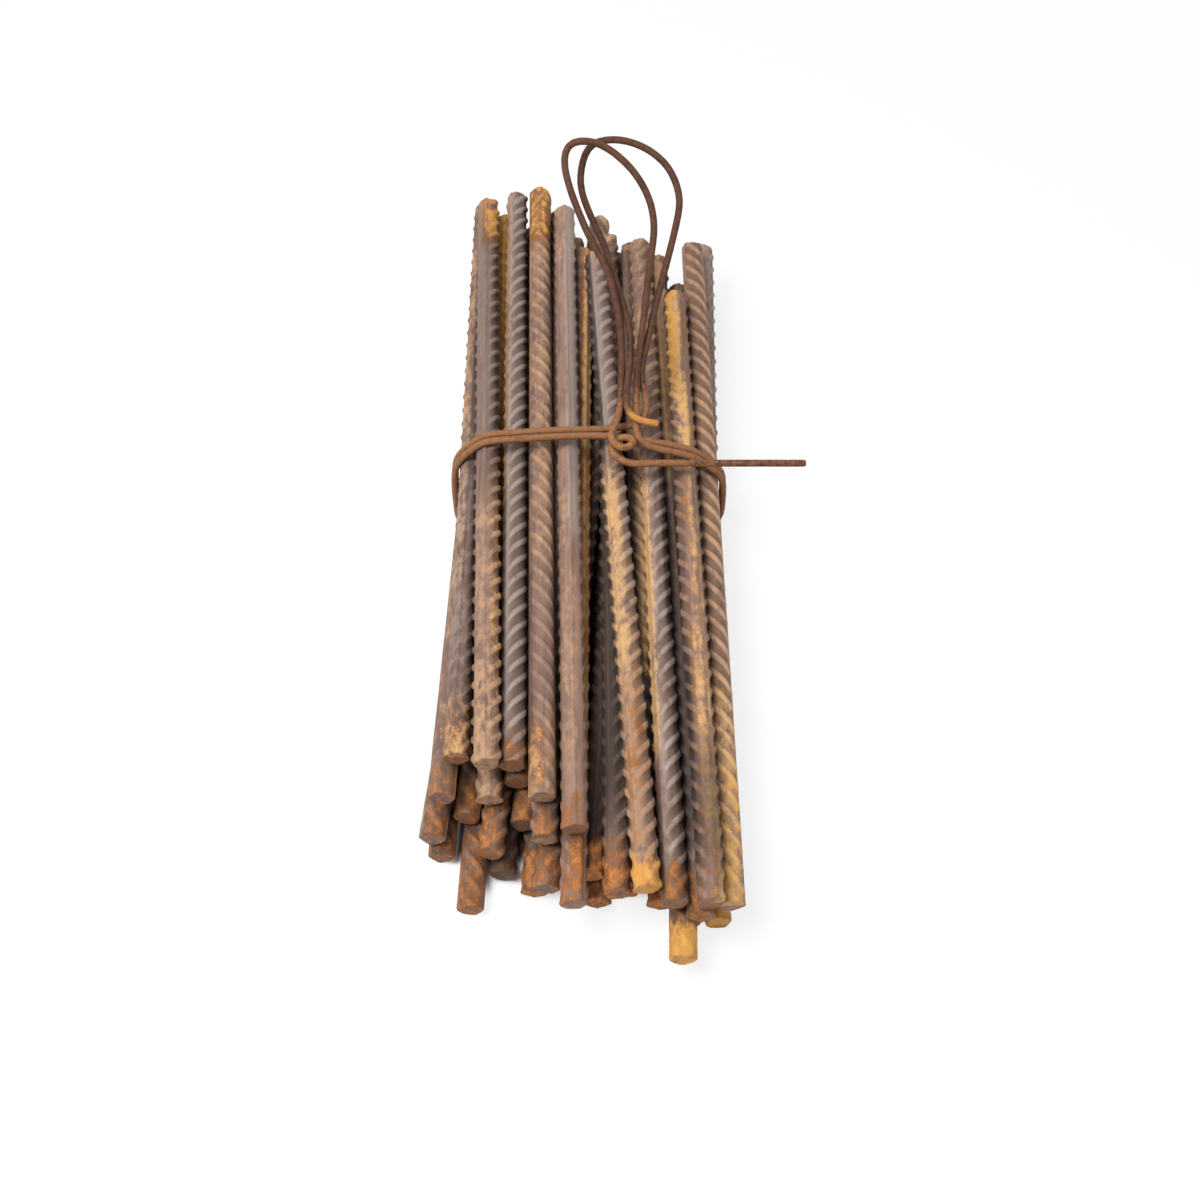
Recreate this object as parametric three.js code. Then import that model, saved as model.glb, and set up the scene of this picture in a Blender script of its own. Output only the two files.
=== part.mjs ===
// A bundle of short ribbed reinforcing bars, tied once with a doubled steel wire.
//
// Millimetres, +Z up. The bars run along Y; the side at -Y is the near end. The bars are straight
// and stiff, so the tie pinches the bundle and the ends splay. The bundle lies on a level floor at
// Z = 0: it rests on the wire under the tie and on the near ends of its lowest bars. The origin is
// in the middle of the bundle's footprint.

import * as THREE from 'three';

// ---- driving dimensions -------------------------------------------------------------------------

const BAR_DIAMETER = 12;         // nominal size of the bar
const BAR_LENGTH = 390;          // the bars are cut to this length, give or take a few millimetres
const BAR_SIDES = 16;            // flats round the bar
const LONG_RIB_HEIGHT = 0.65;    // two ribs run the length of the bar, on opposite sides
const LONG_RIB_WIDTH = 1.6;      // across the flat crest
const BAR_GAP = 0.35;            // left between two bars that lie on each other

const WIRE_DIAMETER = 3;
const WIRE_SIDES = 8;
const WIRE_GAP = 0.45;           // left between the wire and the bars
const WIRE_STEP = 3.5;           // from ring to ring along the wire
const TIE_X = -5.5;              // middle of the band
const TIE_Y = 19;                // the tie sits this far behind the middle of the bars
const TIE_WIDTH = 132;           // across the bars, inside the band
const STRAND_SPACING = 4.2;      // between the two turns of the band
const KNOT_X = 13;               // the knot sits right of the middle
const KNOT_WIDTH = 22;           // the band leaves the knot this far apart
const BAND_SKEW = 11;            // the band leaves the knot this much farther back
const SKEW_FADE = 4.1;           // half the skew is spent in the first fifth of the way round
const BAND_DRIFT = 3.5;          // the band comes round to the knot's right this much farther back
const TAIL_LENGTH = 76;          // from the knot to the free end
const TAIL_Y = -9;               // the tail runs this far before the tie's middle
const LEFT_LOOP_RISE = 42;       // slope of the raised loops, in degrees
const RIGHT_LOOP_RISE = 36;
const LOOP_FOOT = [24, 9];       // where both loops start: behind the tie's middle, over the wire's bed

const BAR_COLOUR = 0x7a5a45;
const WIRE_COLOUR = 0x5a3524;
const FINISH = { roughness: 0.75, metalness: 0.6 };

// ---- where each bar lies -------------------------------------------------------------------------
// One line for each bar, a layer at a time from the floor up:
// [x at the near end, x at the far end, y of the near end, length over BAR_LENGTH, roll in degrees]

const LAYERS = [
  [
    [-71, -60, -173, 2, 90], [-57, -44, -198, 0, 90], [-43, -29, -182, -3, 0],
    [-29, -15, -190, 4, 0], [-15, -1, -186, 0, 0], [-1, 13, -195, -4, 0],
    [14, 24, -190, 2, 0], [30, 37, -196, 3, 0], [44, 49, -204, 0, 0],
  ],
  [
    [-72, -41, -170, 0, 90], [-59, -29, -160, 2, 100], [-48, -15, -178, -2, 10],
    [-38, -1, -164, 3, 70], [-27, 12, -194, 0, 30], [-4, 24, -188, 2, 0],
    [16, 34, -193, -3, 0], [40, 43, -226, 0, 100], [53, 56, -204, -4, 40],
  ],
  [
    [-73, -61, -160, 0, 90], [-48, -60, -159, -13, 0], [-37, -34, -151, -2, 50],
    [-25, -21, -177, 2, 5], [-11.5, -12, -206, 0, 150], [7, 5, -202, 9, 30],
    [22, 20, -199, 0, 60], [45, 31, -212, -3, 0], [49, 61, -192, 3, 0],
  ],
  [
    [-61, -62, -147, -16, 15], [-47, -66, -153, -22, 10], [-36.5, -48, -150, -14, 35],
    [-25.5, -34.5, -164, 0, 80], [-10.5, -20.5, -178, -7, 0], [19.5, -3, -205, -17, 25],
    [29.5, 20, -209, -1, 35], [43.5, 39, -212, -37, -20], [52, 52, -207, 5, 80],
  ],
];

// ---- the bar ------------------------------------------------------------------------------------

const barRadius = BAR_DIAMETER / 2;
const barReach = barRadius + LONG_RIB_HEIGHT;

/** Outline of the bar: a round core with a flat-topped rib at the top and at the bottom. */
function barOutline() {
  const points = [];
  for (const side of [1, -1]) {
    points.push(new THREE.Vector2(side * LONG_RIB_WIDTH / 2, side * barReach));
    points.push(new THREE.Vector2(-side * LONG_RIB_WIDTH / 2, side * barReach));
    for (let i = 1; i < BAR_SIDES / 2; i += 1) {
      const angle = side * Math.PI / 2 + (2 * Math.PI * i) / BAR_SIDES;
      points.push(new THREE.Vector2(barRadius * Math.cos(angle), barRadius * Math.sin(angle)));
    }
  }
  return points;
}

const outline = barOutline();

/** How far a bar reaches from its centre line in the direction (dx, dz). */
function reach(bar, dx, dz) {
  const x = dx * bar.cos + dz * bar.sin;
  const y = dz * bar.cos - dx * bar.sin;
  return Math.max(...outline.map((point) => point.x * x + point.y * y));
}

// ---- settling the bars on each other --------------------------------------------------------------
// Each bar is a straight line held by its two ends. Bars sink a little, drift to their own x, and
// are pushed off each other, up off the level of the wire under them and in from the band, until
// they lie still. Then the whole bundle leans over that wire until it meets the floor.

const SETTLE_ROUNDS = 400;
const SINK_STEP = 0.2;           // millimetres down, each round
const SIDE_PULL = 0.06;          // share of the way back to its own x, each round
const STILL = 0.003;             // a push under this is taken as none
const wireRadius = WIRE_DIAMETER / 2;
const wireHalf = wireRadius * Math.cos(Math.PI / WIRE_SIDES);    // half the wire across its flats
const underBand = 2 * wireHalf + WIRE_GAP;
const bandEdges = [TIE_Y - 2 * STRAND_SPACING, TIE_Y + 2 * STRAND_SPACING];

const bars = LAYERS.flatMap((layer, level) => layer.map(([nearX, farX, nearY, extra, roll]) => {
  const z = underBand + barReach + level * (BAR_DIAMETER + BAR_GAP);
  return {
    wantedX: [nearX, farX],
    x: [nearX, farX],
    y: [nearY, nearY + BAR_LENGTH + extra],
    z: [z, z],
    roll: THREE.MathUtils.degToRad(roll),
    cos: Math.cos(THREE.MathUtils.degToRad(roll)),
    sin: Math.sin(THREE.MathUtils.degToRad(roll)),
  };
}));

/** Where y falls along the bar, from 0 at the near end to 1 at the far end. */
const share = (bar, y) => (y - bar.y[0]) / (bar.y[1] - bar.y[0]);
const along = (ends, t) => ends[0] + (ends[1] - ends[0]) * t;

/** Moves the bar by (dx, dz) at the share t of its length, as a stiff line. */
function shift(bar, t, dx, dz) {
  const weights = [1 - t, t];
  const total = weights[0] ** 2 + weights[1] ** 2;
  for (const end of [0, 1]) {
    bar.x[end] += (dx * weights[end]) / total;
    bar.z[end] += (dz * weights[end]) / total;
  }
}

/** Pushes two bars apart at y if they are nearer there than their outlines allow. */
function part(a, b, y) {
  const ta = share(a, y);
  const tb = share(b, y);
  const dx = along(b.x, tb) - along(a.x, ta);
  const dz = along(b.z, tb) - along(a.z, ta);
  const distance = Math.hypot(dx, dz);
  if (distance > 2 * barReach + BAR_GAP) return 0;
  const nx = dx / distance;
  const nz = dz / distance;
  const push = reach(a, nx, nz) + reach(b, -nx, -nz) + BAR_GAP - distance;
  if (push <= 0) return 0;
  shift(a, ta, (-nx * push) / 2, (-nz * push) / 2);
  shift(b, tb, (nx * push) / 2, (nz * push) / 2);
  return push;
}

/** Where two bars are compared: at both ends of the stretch they share, and where they are nearest. */
function stations(a, b) {
  const from = Math.max(a.y[0], b.y[0]);
  const to = Math.min(a.y[1], b.y[1]);
  const between = (y) => new THREE.Vector2(
    along(b.x, share(b, y)) - along(a.x, share(a, y)),
    along(b.z, share(b, y)) - along(a.z, share(a, y)),
  );
  const start = between(from);
  const run = between(to).sub(start);
  const nearest = run.lengthSq() > 0 ? -start.dot(run) / run.lengthSq() : 0;
  return [from, to, from + (to - from) * THREE.MathUtils.clamp(nearest, 0, 1)];
}

/** Lifts a bar's ends to the level of the wire under the bundle. */
function lift(bar) {
  const height = underBand + reach(bar, 0, -1);
  let most = 0;
  for (const end of [0, 1]) {
    most = Math.max(most, height - bar.z[end]);
    bar.z[end] = Math.max(bar.z[end], height);
  }
  return most;
}

/** Pushes a bar in from the sides of the band. */
function squeeze(bar) {
  const t = share(bar, TIE_Y);
  let most = 0;
  for (const side of [1, -1]) {
    const push = side * (along(bar.x, t) - TIE_X) + reach(bar, side, 0) - TIE_WIDTH / 2;
    if (push > 0) shift(bar, t, -side * push, 0);
    most = Math.max(most, push);
  }
  return most;
}

function partAll() {
  let most = 0;
  bars.forEach((a, i) => {
    for (const b of bars.slice(i + 1)) {
      for (const y of stations(a, b)) most = Math.max(most, part(a, b, y));
    }
  });
  for (const bar of bars) most = Math.max(most, squeeze(bar), lift(bar));
  return most;
}

function settle() {
  for (let round = 0; round < SETTLE_ROUNDS; round += 1) {
    const vigour = 1 - round / SETTLE_ROUNDS;
    for (const bar of bars) {
      for (const end of [0, 1]) {
        bar.z[end] -= SINK_STEP * vigour;
        bar.x[end] += (bar.wantedX[end] - bar.x[end]) * SIDE_PULL * vigour;
      }
    }
    partAll();
    partAll();
  }
  for (let round = 0; round < SETTLE_ROUNDS && partAll() > STILL; round += 1);
}

/** Leans the bundle over the wire under it until the first near end meets the floor. */
function lean() {
  const pivot = bandEdges[0];
  const angle = Math.min(...bars.map((bar) => (
    Math.atan2(bar.z[0] - reach(bar, 0, -1), pivot - bar.y[0]))));
  for (const bar of bars) {
    for (const end of [0, 1]) {
      const y = bar.y[end] - pivot;
      const z = bar.z[end];
      bar.y[end] = pivot + y * Math.cos(angle) - z * Math.sin(angle);
      bar.z[end] = z * Math.cos(angle) + y * Math.sin(angle);
    }
  }
}

settle();
lean();

// ---- the tie wire --------------------------------------------------------------------------------
// One length of wire: tail, curl of the knot, first raised loop, two turns round the bundle, second
// raised loop and a short end bent over the knot.

/** Corners of all bars, cut across at each of the given places along Y. */
function sectionCorners(ys) {
  return bars.flatMap((bar) => ys.flatMap((y) => outline.map((point) => new THREE.Vector2(
    along(bar.x, share(bar, y)) + point.x * bar.cos - point.y * bar.sin,
    along(bar.z, share(bar, y)) + point.x * bar.sin + point.y * bar.cos,
  ))));
}

/** Convex outline of the points, anticlockwise. */
function convexOutline(points) {
  const sorted = [...points].sort((a, b) => a.x - b.x || a.y - b.y);
  const turn = (o, a, b) => (a.x - o.x) * (b.y - o.y) - (a.y - o.y) * (b.x - o.x);
  const chain = (list) => {
    const kept = [];
    for (const point of list) {
      while (kept.length > 1 && turn(kept.at(-2), kept.at(-1), point) <= 0) kept.pop();
      kept.push(point);
    }
    return kept.slice(0, -1);
  };
  return [...chain(sorted), ...chain(sorted.reverse())];
}

/** The closed line that the wire's centre follows round the bars, anticlockwise. */
function bandLine() {
  const hull = convexOutline(sectionCorners(bandEdges));
  const outwards = (a, b) => new THREE.Vector2(b.y - a.y, a.x - b.x).normalize();
  return hull.map((corner, i) => outwards(hull.at(i - 1), corner)
    .add(outwards(corner, hull[(i + 1) % hull.length]))
    .normalize()
    .multiplyScalar(wireHalf + WIRE_GAP)
    .add(corner));
}

const band = bandLine();
const knotZ = Math.max(...band.map((point) => point.y));

/** The band's open line in X and Z, from the knot's left side round under the bars to its right. */
function openBand() {
  const left = KNOT_X - KNOT_WIDTH / 2;
  const right = KNOT_X + KNOT_WIDTH / 2;
  const clear = BAR_DIAMETER / 2;
  const outside = band.filter((point) => (
    point.y < knotZ / 2 || point.x < left - clear || point.x > right + clear));
  const first = outside.reduce((best, point, i) => (
    point.y > knotZ / 2 && point.x < left && !(outside[best].x < left && outside[best].x > point.x)
      ? i : best), 0);
  const rest = [...outside.slice(first), ...outside.slice(0, first)];
  return [new THREE.Vector2(left, knotZ), ...rest, new THREE.Vector2(right, knotZ)];
}

/** One turn of the band, from the knot's left side to its right, `offset` behind the tie's middle. */
function bandTurn(offset) {
  const line = openBand();
  const points = [];
  const lengths = line.map((point, i) => (i ? point.distanceTo(line[i - 1]) : 0));
  const total = lengths.reduce((sum, length) => sum + length);
  let travelled = 0;
  line.forEach((point, i) => {
    const pieces = i ? Math.max(1, Math.round(lengths[i] / WIRE_STEP)) : 1;
    for (let k = 1; k <= pieces; k += 1) {
      const from = line[Math.max(i - 1, 0)];
      const at = from.clone().lerp(point, k / pieces);
      const done = (travelled + (lengths[i] * k) / pieces) / total;
      const skew = BAND_SKEW * Math.exp(-((done * SKEW_FADE) ** 2));
      const y = TIE_Y + offset + skew + BAND_DRIFT * done;
      points.push(new THREE.Vector3(at.x, y, at.y));
    }
    travelled += lengths[i];
  });
  return points;
}

/** Points given from the knot's own origin: right, towards the far end, up from the wire's bed. */
function fromKnot(points) {
  return points.map(([x, y, z]) => new THREE.Vector3(KNOT_X + x, TIE_Y + y, knotZ + z));
}

/** Points of a raised loop in its own plane: right, and away along the slope. */
function raisedLoop(rise, points) {
  const slope = THREE.MathUtils.degToRad(rise);
  const [footY, footZ] = LOOP_FOOT;
  return fromKnot(points.map(([x, away]) => [
    x, footY + away * Math.cos(slope), footZ + away * Math.sin(slope),
  ]));
}

const TAIL = [
  [KNOT_WIDTH / 2 + TAIL_LENGTH, TAIL_Y, 0], [50, TAIL_Y, 0], [28, TAIL_Y, 0], [12, TAIL_Y, 0],
];

const CURL = [
  [5, -10, 0.3], [-2, TAIL_Y, 1.2], [-8.8, -3, 3.4], [-2.5, 3.6, 6], [4.4, -2.6, 8.2],
  [-2, -8.2, 9], [-8, -2, 9], [-6, 7, 9], [-3.5, 15, 9.5],
];

const LEFT_LOOP = [
  [-2.5, 9], [-3, 35], [-9.5, 63], [-19, 81], [-27.5, 102], [-30.5, 115], [-28.5, 123.5], [-22, 125],
  [-13, 123.5], [2, 112], [10.5, 98.5], [13.5, 85], [11.5, 67], [8.5, 40], [5.5, 15],
];

const DOWN_TO_BAND = [
  [4.6, 16, 6.5], [4.6, 10.5, 4.9], [4.8, 6.2, 4.2], [5.8, 3.2, 3.2], [8, 1.8, 1.5],
];

const UNDER_KNOT = [[-4, 14.4, 0.2], [3, 15.5, 0.2], [9, 18.6, 1.5], [10, 25, 6]];

const RIGHT_LOOP = [
  [7.2, 13], [9.8, 26.5], [16.5, 55], [22.5, 78], [26.5, 98], [25.5, 104.5], [20.5, 115.5],
  [11.5, 123.5], [2.5, 127.5], [-6.5, 129], [-18, 126], [-22.5, 113], [-22.5, 105], [-18.5, 93],
  [-11.5, 78], [-4, 55], [1.5, 36], [2, 22],
];

const SHORT_END = [
  [0.5, 28, 16.2], [-0.2, 21, 14], [0.2, 15, 11.6], [2.8, 11.6, 9.8], [7, 10.6, 8.8], [11.5, 10.6, 7.6],
  [15.5, 10.8, 6.4],
];

function wirePath() {
  const bandTurns = [
    ...bandTurn(-STRAND_SPACING / 2).reverse(),
    ...bandTurn(STRAND_SPACING / 2).reverse(),
  ];
  return new WirePath([
    ...fromKnot(TAIL),
    ...fromKnot(CURL),
    ...raisedLoop(LEFT_LOOP_RISE, LEFT_LOOP),
    ...fromKnot(DOWN_TO_BAND),
    ...bandTurns,
    ...fromKnot(UNDER_KNOT),
    ...raisedLoop(RIGHT_LOOP_RISE, RIGHT_LOOP),
    ...fromKnot(SHORT_END),
  ], bandTurns[0], bandTurns.at(-1));
}

const SAMPLES_PER_POINT = 20;    // to measure the length of the wire's line

/** The wire's section: a polygon with a flat side towards +X. */
function wireSection() {
  const corners = [];
  for (let i = 0; i < WIRE_SIDES; i += 1) {
    const angle = (2 * Math.PI * (i + 0.5)) / WIRE_SIDES;
    corners.push(new THREE.Vector2(wireRadius * Math.cos(angle), wireRadius * Math.sin(angle)));
  }
  return new THREE.Shape(corners);
}

/** The wire's centre line. Round the band the section stays level, so its flat side meets the floor. */
class WirePath extends THREE.CatmullRomCurve3 {
  constructor(points, bandStart, bandEnd) {
    super(points);
    this.arcLengthDivisions = SAMPLES_PER_POINT * points.length;
    this.bandStart = bandStart;
    this.bandEnd = bandEnd;
  }

  computeFrenetFrames(steps) {
    const places = this.getSpacedPoints(steps);
    const nearestTo = (point) => places.reduce((best, place, i) => (
      place.distanceTo(point) < places[best].distanceTo(point) ? i : best), 0);
    const first = nearestTo(this.bandStart);
    const last = nearestTo(this.bandEnd);
    const tangents = places.map((_, i) => this.getTangentAt(i / steps));
    const binormals = [];
    const level = new THREE.Vector3(0, 1, 0);
    for (let i = first; i <= last; i += 1) binormals[i] = square(level, tangents[i]);
    for (let i = first - 1; i >= 0; i -= 1) binormals[i] = square(binormals[i + 1], tangents[i]);
    for (let i = last + 1; i <= steps; i += 1) binormals[i] = square(binormals[i - 1], tangents[i]);
    const normals = tangents.map((tangent, i) => binormals[i].clone().cross(tangent));
    return { tangents, normals, binormals };
  }
}

/** The part of a direction that is square to the tangent. */
function square(direction, tangent) {
  return direction.clone().addScaledVector(tangent, -direction.dot(tangent)).normalize();
}

// ---- the model ----------------------------------------------------------------------------------

const bundle = new THREE.Group();

function addPiece(name, geometry, color) {
  const material = new THREE.MeshStandardMaterial({ color, ...FINISH });
  const mesh = new THREE.Mesh(geometry, material);
  mesh.name = name;
  bundle.add(mesh);
  return mesh;
}

function addBar(bar, index) {
  const near = new THREE.Vector3(bar.x[0], bar.y[0], bar.z[0]);
  const far = new THREE.Vector3(bar.x[1], bar.y[1], bar.z[1]);
  const geometry = new THREE.ExtrudeGeometry(new THREE.Shape(outline), {
    depth: near.distanceTo(far),
    bevelEnabled: false,
    steps: 1,
  });
  const mesh = addPiece(`bar_${String(index + 1).padStart(2, '0')}`, geometry, BAR_COLOUR);
  mesh.up.set(0, 0, 1);
  mesh.lookAt(far.clone().sub(near));
  mesh.rotateZ(-bar.roll);
  mesh.position.copy(near);
}

function addWire() {
  const path = wirePath();
  const steps = Math.round(path.getLength() / WIRE_STEP);
  const geometry = new THREE.ExtrudeGeometry(wireSection(), {
    extrudePath: path,
    steps,
    bevelEnabled: false,
  });
  addPiece('tie_wire', geometry, WIRE_COLOUR);
}

bars.forEach(addBar);
addWire();

const box = new THREE.Box3().setFromObject(bundle, true);
const middle = box.getCenter(new THREE.Vector3());
bundle.position.set(-middle.x, -middle.y, -box.min.z);

export default bundle;
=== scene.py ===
"""Looks of a bundle of ribbed reinforcing bars, tied once with a doubled steel wire."""

import math

import bpy
import numpy as np
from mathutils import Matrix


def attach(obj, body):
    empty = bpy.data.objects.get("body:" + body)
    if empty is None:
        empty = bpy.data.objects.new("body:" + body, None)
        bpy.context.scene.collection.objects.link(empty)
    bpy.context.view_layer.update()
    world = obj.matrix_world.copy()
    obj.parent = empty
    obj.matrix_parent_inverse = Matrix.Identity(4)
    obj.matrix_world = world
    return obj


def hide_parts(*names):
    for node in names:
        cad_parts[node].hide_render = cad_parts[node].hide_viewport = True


bl_info = {
    "name": "Rebar bundle",
    "version": (1, 0, 0),
    "blender": (4, 5, 0),
    "location": "View3D > Sidebar > Rebar bundle",
    "description": "Ribbed bars, tie wire and stage of a tied bundle of reinforcing bars",
    "category": "Object",
}

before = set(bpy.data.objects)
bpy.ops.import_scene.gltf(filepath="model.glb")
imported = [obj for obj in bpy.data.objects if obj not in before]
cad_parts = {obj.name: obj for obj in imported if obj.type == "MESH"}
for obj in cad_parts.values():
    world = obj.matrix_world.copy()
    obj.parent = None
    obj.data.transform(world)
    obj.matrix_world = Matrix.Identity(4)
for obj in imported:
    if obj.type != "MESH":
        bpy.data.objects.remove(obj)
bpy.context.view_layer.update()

MM = 0.001
BAR_NODES = sorted(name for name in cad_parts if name.startswith("bar_"))
WIRE_NODE = "tie_wire"

# Reading the solids.
MERGE_DECIMALS = 6               # corners are one where their coordinates agree to this, in metres
CREST_SHARE = 0.9                # corners past this share of a long rib's reach are its crest's
END_FACE = 0.5 * MM              # corners this near the wire's tip are those of its end face

# Gaps between bars, where the bars' colour is darkened with painted shade.
BAR_RADIUS = 6 * MM
CREVICE = 4.2 * MM               # gap between two bars that is open to some light
SHELTER = 9 * MM                 # gap that is open to all of it
CREVICE_SHARE = 0.8              # share of the darkness that is gone at the first of the two

# The rolled pattern. RIB_RINGS are the rings' distances from a rib's middle, in millimetres, for
# ribs at the usual pitch.
USUAL_PITCH = 9.8
RIB_RINGS = np.array([-2.6, -2.0, -1.5, -0.9, 0.0, 0.9, 1.5, 2.0, 2.6, 4.9])
LONG_RIB = np.radians([7, 14])   # half widths of a long rib at its crest and its foot
BESIDE_RIB = np.radians([7, 11, 15])            # angles of the points beside a long rib
BETWEEN_RIBS = np.radians(np.linspace(27, 153, 12))
BAR_SEED = 100                   # added to a bar's number for the draws that shape it
DENT = 0.015 * MM                # height of one wave of the uneven surface
DENT_WAVES = 6
DENT_LENGTHS = (8 * MM, 60 * MM)                # of the waves
OPEN_RELIEF = 0.6                # relief where there are no ribs; 0 is a hollow, and 1 a crest

# Cut ends. CAP_RINGS are the radii of the rings over an end, as shares of its edge's.
CAP_RINGS = np.array([0.35, 0.7, 0.9])
CUT_RELIEF = 0.5
CUT_LEAN = 0.45 * MM             # how far an end leans out of square at its edge
CUT_ROUGHNESS = 0.12 * MM
FIRST_RING = 1.2 * MM            # the ring behind the chamfer
BARE_END = 2 * MM                # the ribs' rings start farther in than this

# The tie wire. Its line starts at the straight free end.
WIRE_SEED = 7
WIRE_SIDES = 14
WIRE_WAVES = 8
WIRE_LENGTHS = (4 * MM, 30 * MM)                # of its waves
WIRE_UNEVENNESS = 0.004          # of its radius, for each wave
WIRE_BEVEL = 0.5 * MM            # length over which its ends are rounded
WIRE_ROUNDING = 0.25             # share of its radius that they lose
TAIL_RUN = 85 * MM               # from the free end to the curl of the knot
CURL_RUN = 45 * MM               # length of wire in the curl
TAIL_START = 0.3                 # share of the tail, from its free end, that is rubbed least
TAIL_RUBBED = 0.5                # how rubbed that is against the band
SHORT_END = (12 * MM, 20 * MM)   # from its tip: fresh rust is full up to one, gone at the other
KNOT_RUST = 0.45
KNOT_REACH = 13 * MM             # how far from the knot its rust fades
RUBBED_HEIGHT = (2 * MM, 11 * MM)               # over the knot: full up to one, gone at the other

# What covers or darkens the bars, as shares from 0 to 1.
PALE_SCALE = 0.7                 # the darker spots of the scale against the paler ones
STREAKS = 0.4
SMEARS = 0.35
BLOOM = 0.4
PITS = 0.45
# dark rust and painted shade in the rib hollows
HOLLOW_RUST_AND_SHADE = 0.62
# painted shade in the gaps between bars
GAP_SHADE = 0.82
# grime and painted shade of the dark patches
GRIME_AND_SHADE = 0.94
DULL_RUST = 0.3                  # old orange rust against fresh
WIRE_PITS = 0.5

# The floor. The insets are taken from the bundle's outline, at its sides and at its ends.
STATIONS = np.linspace(-0.15, 0.15, 7)          # along the bundle, where its sides are measured
WHITE_INSETS = (3 * MM, 35 * MM)
WHITE_FEATHER = 10 * MM
# the dark floor under the bars: rust dust and painted shade
DUST_AND_SHADE_INSETS = (4 * MM, 52 * MM)
DUST_AND_SHADE_FEATHER = 8 * MM
SHADOW_WHITENESS = 0.8           # share of plain white in the floor near the bundle
SHADOW_REACH = (0.3, 0.8)        # distances from the middle over which the floor turns all white
FLOOR_HALF = 3.0

# Lamps: size and place in metres.
KEY_LAMP = (0.7, (-0.5, -0.3, 1.3))
FILL_LAMP = (1.2, (1.1, -0.6, 0.9))
LAMP_AIM = (0.0, 0.0, 0.03)


# ---- sizes and colours -------------------------------------------------------------------------


def tint(red, green, blue):
    """Linear colour of a display colour given from 0 to 255."""
    display = np.array([red, green, blue]) / 255
    linear = np.where(display <= 0.04045, display / 12.92, ((display + 0.055) / 1.055) ** 2.4)
    return tuple(float(value) for value in linear)


def length_property(name, description, default):
    """A length in metres that a user may change."""
    return bpy.props.FloatProperty(
        name=name, description=description, default=default, min=0.0, unit="LENGTH", precision=5)


def colour_property(name, description, default):
    """A linear colour that a user may change."""
    return bpy.props.FloatVectorProperty(
        name=name, description=description, default=default, size=3, min=0.0, max=1.0,
        subtype="COLOR")


class BarSizes(bpy.types.PropertyGroup):
    """Sizes of the rolled pattern on the bars."""

    core: length_property("Core radius", "Radius of the round core", 5.45 * MM)
    rib: length_property("Rib height", "Height of the slanting ribs over the core", 0.95 * MM)
    crest: length_property("Rib crest", "Half the width of a rib at its crest", 0.9 * MM)
    foot: length_property("Rib foot", "Half the width of a rib at its foot", 2.6 * MM)
    slant: length_property("Rib slant", "How far a rib runs along the bar over half a turn",
                           17 * MM)
    seam: length_property("Long rib height", "Height of the two long ribs", 0.55 * MM)
    chamfer: length_property("End chamfer", "Wear on the edge of a cut end", 0.45 * MM)


class WireSizes(bpy.types.PropertyGroup):
    """Sizes of the tie wire."""

    radius: length_property("Radius", "Half the wire's thickness", 1.75 * MM)
    step: length_property("Step", "From ring to ring along the wire", 0.9 * MM)


class BarColours(bpy.types.PropertyGroup):
    """Colours of the rusted bars."""

    steel: colour_property("Steel", "Old brown mill scale", tint(150, 119, 104))
    # the deep colour is dark rust, and also painted shade in the rib hollows
    deep: colour_property("Deep", "Dark rust in the hollows", tint(58, 38, 31))
    bloom: colour_property("Bloom", "Thin rust over the scale", tint(152, 98, 62))
    grey: colour_property("Grey", "Worn grey steel", tint(150, 136, 128))
    tan: colour_property("Tan", "Dry pale rust", tint(174, 136, 104))
    orange: colour_property("Orange", "Fresh rust", tint(190, 120, 58))
    straw: colour_property("Straw", "Dry yellow rust", tint(196, 154, 104))
    yellow: colour_property("Yellow", "Newest rust", tint(204, 154, 72))


class WireColours(bpy.types.PropertyGroup):
    """Colours of the tie wire."""

    brown: colour_property("Brown", "Annealed wire", tint(94, 59, 40))
    dark: colour_property("Dark", "Hollows of the wire", tint(62, 37, 25))
    pale: colour_property("Pale", "Wire rubbed by handling", tint(146, 100, 64))
    orange: colour_property("Orange", "Rust at the short end", tint(190, 128, 62))


class StageSettings(bpy.types.PropertyGroup):
    """Floor, light and camera."""

    floor: colour_property("Floor", "Pale floor", (0.86, 0.86, 0.86))
    # rust dust, and painted shade on the floor seen between the bars
    dust: colour_property("Dust", "Rust dust under the bundle", tint(96, 72, 56))
    key: bpy.props.FloatProperty(name="Key light", description="Power of the large lamp",
                                 default=22.5, unit="POWER")
    fill: bpy.props.FloatProperty(name="Fill light", description="Power of the second lamp",
                                  default=3.0, unit="POWER")
    sky: bpy.props.FloatProperty(name="Sky", description="Strength of the light all round",
                                 default=0.42)
    lens: bpy.props.FloatProperty(name="Lens", description="Focal length of the camera",
                                  default=45.15, unit="CAMERA")
    place: bpy.props.FloatVectorProperty(name="Camera", description="Place of the camera",
                                         default=(-0.00987, -0.47729, 0.61584), size=3,
                                         subtype="TRANSLATION", unit="LENGTH")
    dip: bpy.props.FloatProperty(name="Dip", description="How far the camera looks down",
                                 default=math.radians(54.14), subtype="ANGLE", unit="ROTATION")


GROUPS = {
    "bar_sizes": BarSizes,
    "wire_sizes": WireSizes,
    "bar_colours": BarColours,
    "wire_colours": WireColours,
    "stage_settings": StageSettings,
}


# ---- how each bar looks ------------------------------------------------------------------------
# Ribs: pitch in millimetres, height against the usual one, and how much of the flank to the right
# and to the left of the long rib they leave bare, from 0 (none) to 1 (all of it).
# Patches: colour, angle from the top towards +X and half width in degrees, from and to in
# millimetres from the near end, strength.

ALL_ROUND = 200
PLAIN_RIBS = (USUAL_PITCH, 0.9, 0.25, 0.25)

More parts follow.
